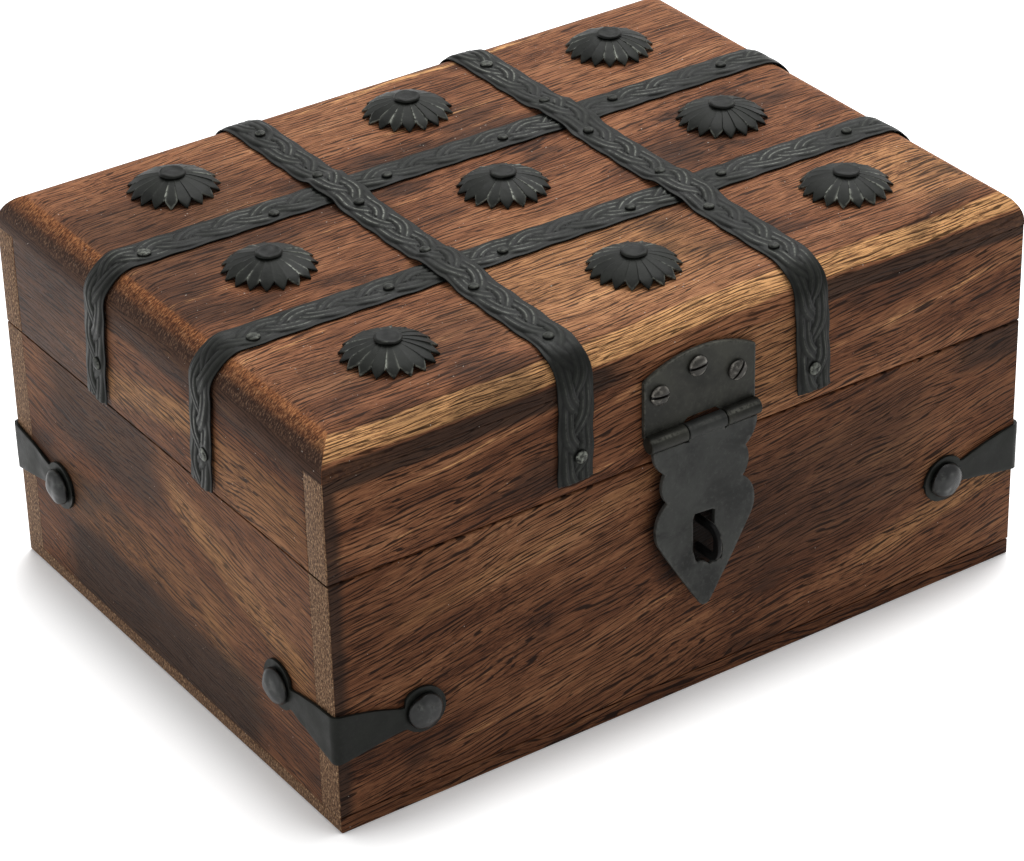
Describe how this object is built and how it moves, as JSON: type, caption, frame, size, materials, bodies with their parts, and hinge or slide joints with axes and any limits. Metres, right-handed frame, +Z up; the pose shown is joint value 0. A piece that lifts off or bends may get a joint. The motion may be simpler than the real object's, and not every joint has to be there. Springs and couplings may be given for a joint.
{
  "type": "jewelry box",
  "caption": "Dark wooden jewelry box with a hinged lid, iron straps, petalled rosettes with domed nails, corner brackets and a padlock hasp that swings up off its staple.",
  "frame": {"origin": "centre of the underside, on the surface the box stands on", "axes": "+X to the right along the long front, +Z up; the front with the hasp faces -Y"},
  "size_m": [0.2112, 0.1658, 0.1108],
  "materials": {
    "top_wood": "dark brown stain under a worn satin wax",
    "side_wood": "dark brown stain under a worn satin wax",
    "bottom_wood": "dark stain, matt",
    "black_iron": "blackened satin iron",
    "worn_iron": "blackened iron worn bright at its edges",
    "screw_iron": "worn dark steel"
  },
  "bodies": {
    "base": {"base_front_panel": "side_wood", "base_back_panel": "side_wood", "base_left_panel": "side_wood", "base_right_panel": "side_wood", "base_bottom_panel": "bottom_wood", "corner_bracket_front_left": "black_iron", "corner_bracket_front_right": "black_iron", "corner_bracket_back_left": "black_iron", "corner_bracket_back_right": "black_iron", "bracket_stud_front_left_on_front": "black_iron", "bracket_stud_front_left_on_left": "black_iron", "bracket_stud_front_right_on_front": "black_iron", "bracket_stud_front_right_on_right": "black_iron", "bracket_stud_back_left_on_back": "black_iron", "bracket_stud_back_left_on_left": "black_iron", "bracket_stud_back_right_on_back": "black_iron", "bracket_stud_back_right_on_right": "black_iron", "hasp_staple": "worn_iron", "hinge_left_base_leaf": "black_iron", "hinge_left_pin": "black_iron", "hinge_right_base_leaf": "black_iron", "hinge_right_pin": "black_iron"},
    "lid": {"lid_top_panel": "top_wood", "lid_front_panel": "side_wood", "lid_back_panel": "side_wood", "lid_left_panel": "side_wood", "lid_right_panel": "side_wood", "lid_strap_front_to_back_left": "black_iron", "lid_strap_front_to_back_right": "black_iron", "lid_strap_side_to_side_front": "black_iron", "lid_strap_side_to_side_back": "black_iron", "rosette_front_left": "black_iron", "rosette_front_middle": "black_iron", "rosette_front_right": "black_iron", "rosette_middle_left": "black_iron", "rosette_middle_middle": "black_iron", "rosette_middle_right": "black_iron", "rosette_back_left": "black_iron", "rosette_back_middle": "black_iron", "rosette_back_right": "black_iron", "rosette_nail_front_left": "black_iron", "rosette_nail_front_middle": "black_iron", "rosette_nail_front_right": "black_iron", "rosette_nail_middle_left": "black_iron", "rosette_nail_middle_middle": "black_iron", "rosette_nail_middle_right": "black_iron", "rosette_nail_back_left": "black_iron", "rosette_nail_back_middle": "black_iron", "rosette_nail_back_right": "black_iron", "hasp_plate": "black_iron", "hasp_pin": "black_iron", "hasp_screw_left": "screw_iron", "hasp_screw_middle": "screw_iron", "hasp_screw_right": "screw_iron", "hinge_left_lid_leaf": "black_iron", "hinge_right_lid_leaf": "black_iron"},
    "hasp_flap": {"hasp_flap": "worn_iron"}
  },
  "joints": [
    {"name": "lid_hinge", "type": "hinge", "parent": "base", "child": "lid", "pos_m": [0, 0.0786, 0.0685], "axis": [-1, 0, 0], "range_deg": [0, 105]},
    {"name": "hasp_hinge", "type": "hinge", "parent": "lid", "child": "hasp_flap", "pos_m": [0.0013, -0.0786, 0.0753], "axis": [-1, 0, 0], "range_deg": [0, 165]}
  ]
}
